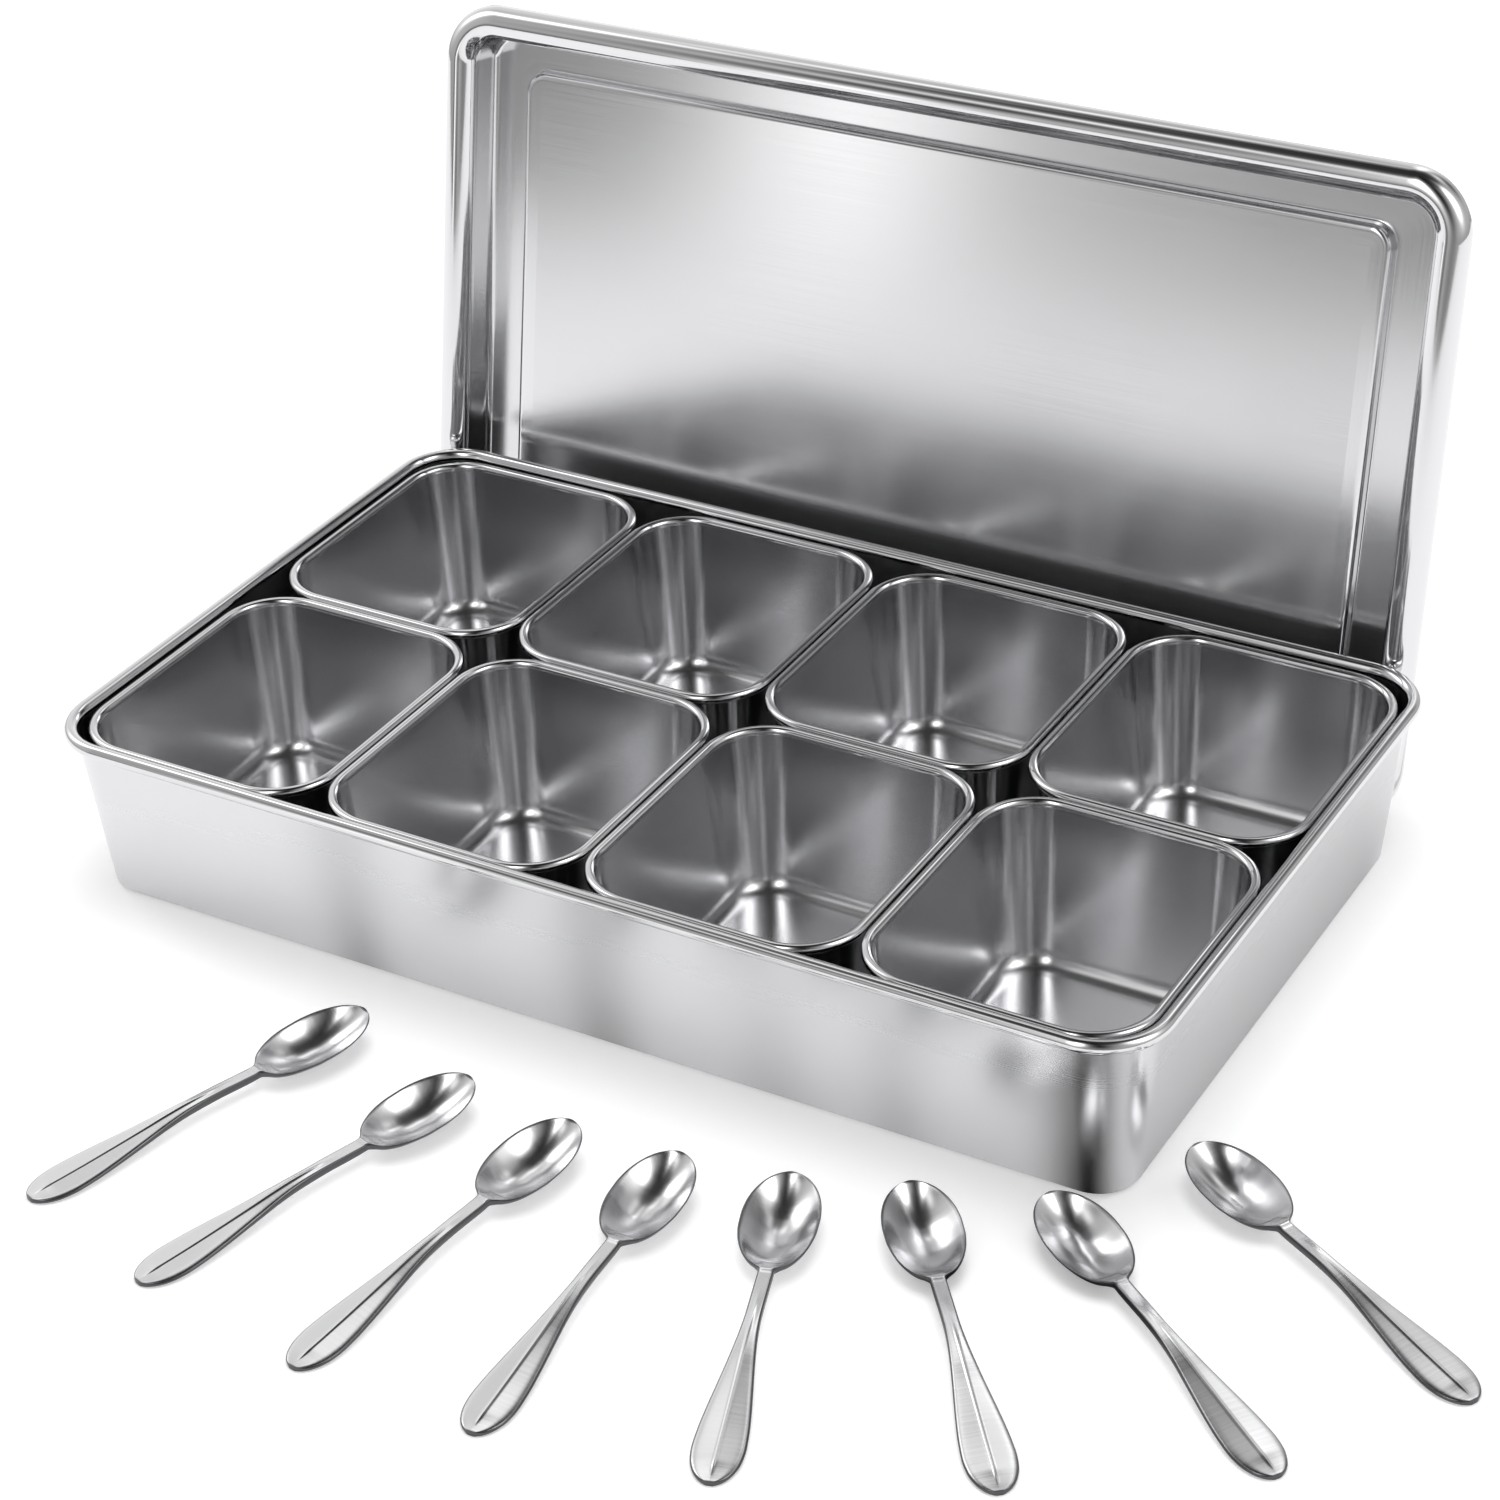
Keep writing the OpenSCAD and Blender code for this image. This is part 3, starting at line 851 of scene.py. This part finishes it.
@dataclass(frozen=True)
class StageSheet:
    """A sheet on a grid that only the metal sees, with a shade at each point.

    Attributes:
        name: Name of the sheet.
        grid: Rows by columns by three, in metres.
        shade: Rows by columns, the glow's strength or the share of light let through.
        kind: Whether the sheet glows or lets a share of the light through.
        closed: Whether the last column joins the first.
    """

    name: str
    grid: np.ndarray
    shade: np.ndarray
    kind: SheetKind
    closed: bool = False

    def build(self) -> None:
        """Makes the sheet, hidden from the camera and from the light."""
        rows, columns, _ = self.grid.shape
        row = np.arange(rows - 1)[:, None] * columns
        here = np.arange(columns if self.closed else columns - 1)[None]
        there = (here + 1) % columns
        quads = np.stack([row + here, row + columns + here, row + columns + there, row + there], axis=2)
        mesh = bpy.data.meshes.new(self.name)
        mesh.from_pydata(self.grid.reshape(-1, 3).tolist(), [], quads.reshape(-1, 4).tolist())
        layer = mesh.attributes.new(SHADE_NAME, "FLOAT", "POINT")
        layer.data.foreach_set("value", self.shade.ravel().astype(np.float32))
        sheet = bpy.data.objects.new(self.name, mesh)
        bpy.context.scene.collection.objects.link(sheet)
        made = bpy.data.materials.new(self.name)
        made.use_nodes = True
        nodes, links = made.node_tree.nodes, made.node_tree.links
        nodes.clear()
        value = nodes.new("ShaderNodeAttribute")
        value.attribute_name = SHADE_NAME
        end = nodes.new("ShaderNodeOutputMaterial")
        if self.kind is SheetKind.FILTER:
            shader = nodes.new("ShaderNodeBsdfTransparent")
            links.new(value.outputs["Fac"], shader.inputs["Color"])
        else:
            shader = nodes.new("ShaderNodeEmission")
            links.new(value.outputs["Fac"], shader.inputs["Strength"])
        links.new(shader.outputs[0], end.inputs["Surface"])
        mesh.materials.append(made)
        sheet.visible_camera = False
        sheet.visible_diffuse = False
        sheet.visible_shadow = False
        sheet.visible_transmission = False
        sheet.visible_volume_scatter = False


@dataclass(frozen=True)
class Surround:
    """A dome of soft light and shade that only the metal sees. Metres and degrees.

    Its shade at elevation e and azimuth a is the height table's value at e, times one plus each strip's gain
    * exp(-((a - middle) / width) ** 2) * exp(-((e - level) / spread) ** 2). A negative gain makes a dark flag.
    """

    radius: float = 1.25
    heights: tuple[tuple[float, float], ...] = (
        (0.0, 0.40), (12.0, 0.56), (30.0, 0.60), (45.0, 0.52), (56.0, 0.40), (66.0, 0.10), (78.0, 0.03),
        (90.0, 0.03))
    # middle, width, level, spread, gain
    strips: tuple[tuple[float, float, float, float, float], ...] = (
        # seen by the pans' flat walls
        (-59.0, 22.0, 45.0, 45.0, -0.97), (-121.0, 14.0, 36.0, 14.0, -0.85), (59.0, 16.0, 36.0, 14.0, -0.75),
        # seen by the spoons
        (140.0, 22.0, 42.0, 14.0, 0.60), (132.0, 26.0, 64.0, 7.0, 5.00), (130.0, 40.0, 16.0, 12.0, 1.00),
        # seen by the pans' floors
        (-121.0, 13.0, 53.0, 7.0, 2.4), (59.0, 13.0, 53.0, 7.0, 1.6),
        # seen by the pans' corners
        (0.0, 15.0, 48.0, 20.0, 8.0), (180.0, 12.0, 48.0, 20.0, 6.0), (90.0, 8.0, 48.0, 18.0, 2.6),
        (-90.0, 10.0, 48.0, 20.0, 10.0),
        # seen by the lid's panel
        (-121.5, 4.0, 0.0, 12.0, 3.2), (-131.0, 5.0, 0.0, 12.0, -0.70), (-104.0, 6.0, 0.0, 12.0, -0.60))
    rows: int = 60
    stations: int = 360

    def build(self) -> None:
        """Makes the dome, hidden from the camera and from the light."""
        rise = np.linspace(0.0, 90.0, self.rows)[:, None]
        turn = np.linspace(0.0, 360.0, self.stations, endpoint=False)[None]
        up, around = np.radians(rise), np.radians(turn)
        grid = self.radius * np.stack([np.cos(up) * np.cos(around), np.cos(up) * np.sin(around),
                                       np.sin(up) + 0 * around], axis=2)
        table = np.asarray(self.heights)
        shade = np.interp(rise, table[:, 0], table[:, 1]) + 0 * turn
        for middle, width, level, spread, gain in self.strips:
            away = (turn - middle + 180.0) % 360.0 - 180.0
            shade = shade * (1 + gain * np.exp(-(away / width) ** 2) * np.exp(-((rise - level) / spread) ** 2))
        StageSheet("surround", grid, shade, SheetKind.GLOW, closed=True).build()


@dataclass(frozen=True)
class WallBands:
    """Soft dark stripes on the floor, seen by the metal alone, which make the bands on the tray's outer walls.

    A point of the outer wall at the outline's length u and height z is mirrored onto the floor: with n the
    wall's normal and v the way to the camera, the ray r = 2 (n . v) n - v meets the floor at the point
    + r * z / -r.z. That maps the wall's grid of u and z onto the floor. The share of light let through there
    is the product of 1 - depth * exp(-((u - middle) / width) ** 2) over the bands, times side_shade along the
    right wall, and goes out to 1 over the fade at the ends and the far edge. Lengths are in millimetres, and
    u is 0 at the middle of the front.
    """

    first: float = -178.0
    last: float = 372.0
    reach: float = 72.0
    fade: float = 14.0
    lift: float = 0.3
    # middle along the outline, width, depth
    bands: tuple[tuple[float, float, float], ...] = (
        (-74.0, 10.0, 0.36), (12.0, 12.0, 0.38), (68.0, 12.0, 0.18), (108.0, 10.0, 0.22), (168.0, 12.0, 0.985))
    side_shade: float = 0.70
    turn: float = 8.0
    steps: int = 420
    rows: int = 24

    def build(self) -> None:
        """Makes the stripes."""
        tilt = math.radians(TRAY.draft)
        u = np.linspace(self.first, self.last, self.steps)[None]
        z = np.linspace(0.0, self.reach, self.rows)[:, None]
        corner = TRAY.corner
        half_x, half_y = TRAY.length / 2 - corner, TRAY.width / 2 - corner
        angle = np.clip((u - half_x) / corner, 0.0, math.pi / 2)
        inset = TRAY.bead - TRAY.sheet + (TRAY.height - z) * math.tan(tilt)
        beyond = np.clip(u - half_x - corner * math.pi / 2, 0.0, None)
        x = np.minimum(u, half_x) + (corner - inset) * np.sin(angle)
        y = -half_y - (corner - inset) * np.cos(angle) + beyond
        wall = np.stack([x, y, z + 0 * u], axis=2)
        normal = np.stack([np.sin(angle) * math.cos(tilt), -np.cos(angle) * math.cos(tilt),
                           0 * u - math.sin(tilt)], axis=2)
        camera = np.array(bpy.context.scene.camera.matrix_world.translation) / MM
        way = camera - wall
        way /= np.linalg.norm(way, axis=2, keepdims=True)
        ray = 2 * (normal * way).sum(axis=2, keepdims=True) * normal - way
        floor = wall + ray * (z[..., None] / -ray[..., 2:])
        floor[..., 2] = self.lift
        shade = np.ones_like(u)
        for middle, width, depth in self.bands:
            shade = shade * (1 - depth * np.exp(-((u - middle) / width) ** 2))
        turned = np.clip((u - half_x - corner * math.pi / 2) / self.turn + 1.0, 0.0, 1.0)
        shade = shade * (1 + (self.side_shade - 1) * turned)
        ends = np.clip((u - self.first) / self.fade, 0, 1) * np.clip((self.last - u) / self.fade, 0, 1)
        edge = np.clip((self.reach - z) / self.fade, 0, 1) * ends
        shade = 1 + (shade - 1) * edge
        StageSheet("wall bands", floor * MM, shade, SheetKind.FILTER).build()


class Studio:
    """Floor, world, lamps, surround and view settings."""

    floor_radius = 6.0
    floor_sides = 96
    floor_colour = (0.88, 0.88, 0.885, 1.0)
    floor_glow = 0.26
    sky_light = 0.55
    parts = (
        Softbox("top softbox", (0.1, 0.1, 2.2), (0.0, 0.0, 0.0), (1.6, 1.2), 22.0),
        Softbox("left softbox", (-2.0, 0.5, 1.4), (0.0, 0.0, 0.05), (0.8, 1.4), 10.0),
        Softbox("right softbox", (1.5, 1.6, 1.5), (0.0, 0.0, 0.05), (0.6, 1.4), 8.0),
        Surround(),
        WallBands(),
    )

    def _floor(self) -> None:
        """A pale round floor: diffuse, and a little brighter where the camera or the metal sees it."""
        angles = np.linspace(0.0, 2 * math.pi, self.floor_sides, endpoint=False)
        points = self.floor_radius * np.stack([np.cos(angles), np.sin(angles), 0 * angles], axis=1)
        mesh = bpy.data.meshes.new("floor")
        mesh.from_pydata(points.tolist(), [], [tuple(range(self.floor_sides))])
        floor = bpy.data.objects.new("floor", mesh)
        bpy.context.scene.collection.objects.link(floor)
        made = bpy.data.materials.new("pale floor")
        made.use_nodes = True
        nodes, links = made.node_tree.nodes, made.node_tree.links
        nodes.clear()
        matte = nodes.new("ShaderNodeBsdfDiffuse")
        matte.inputs["Color"].default_value = self.floor_colour
        glow = nodes.new("ShaderNodeEmission")
        seen = self._seen(nodes, links)
        strength = nodes.new("ShaderNodeMath")
        strength.operation = "MULTIPLY"
        strength.inputs[1].default_value = self.floor_glow
        links.new(seen, strength.inputs[0])
        links.new(strength.outputs[0], glow.inputs["Strength"])
        both = nodes.new("ShaderNodeAddShader")
        end = nodes.new("ShaderNodeOutputMaterial")
        links.new(matte.outputs["BSDF"], both.inputs[0])
        links.new(glow.outputs["Emission"], both.inputs[1])
        links.new(both.outputs["Shader"], end.inputs["Surface"])
        mesh.materials.append(made)

    @staticmethod
    def _seen(nodes: bpy.types.Nodes, links: bpy.types.NodeLinks) -> bpy.types.NodeSocket:
        """1 for rays of the camera, of reflections and through glass, else 0."""
        path = nodes.new("ShaderNodeLightPath")
        total = path.outputs["Is Camera Ray"]
        for name in ("Is Glossy Ray", "Is Transmission Ray"):
            step = nodes.new("ShaderNodeMath")
            step.operation = "MAXIMUM"
            links.new(total, step.inputs[0])
            links.new(path.outputs[name], step.inputs[1])
            total = step.outputs[0]
        return total

    def _world(self) -> None:
        """A white surround for the eye and the metal, and a plainer light for everything else."""
        world = bpy.data.worlds.new("studio")
        bpy.context.scene.world = world
        world.use_nodes = True
        nodes, links = world.node_tree.nodes, world.node_tree.links
        nodes.clear()
        light = nodes.new("ShaderNodeBackground")
        light.inputs["Strength"].default_value = self.sky_light
        white = nodes.new("ShaderNodeBackground")
        for back in (light, white):
            back.inputs["Color"].default_value = WHITE
        white.inputs["Strength"].default_value = 1.0
        pick = nodes.new("ShaderNodeMixShader")
        end = nodes.new("ShaderNodeOutputWorld")
        links.new(self._seen(nodes, links), pick.inputs["Fac"])
        links.new(light.outputs["Background"], pick.inputs[1])
        links.new(white.outputs["Background"], pick.inputs[2])
        links.new(pick.outputs["Shader"], end.inputs["Surface"])

    def build(self) -> None:
        """Sets up everything around the object."""
        self._floor()
        self._world()
        for part in self.parts:
            part.build()
        bpy.context.scene.view_settings.view_transform = "Standard"


VIEW = View(focal=3668.88, azimuth=31.227, elevation=31.621, roll=-2.574,
            shift=(1.662, -39.574, -1149.279), middle=(739.195, 736.571))


def main() -> None:
    """Builds the pieces, dresses them and sets up the studio."""
    logging.basicConfig(level=logging.INFO, format="%(message)s")
    VIEW.build()
    Studio().build()
    TRAY.shell("tray_shell", (0.0, 0.0, 0.0)).place("tray", "tray_steel", TRAY_FINISH.material())
    PanSet().build(PAN_FINISH.material())
    Lid().build(LID_FINISH.material())
    SpoonFan().build(SPOON_FINISH.material())
    bpy.context.view_layer.update()


if __name__ == "__main__":
    main()
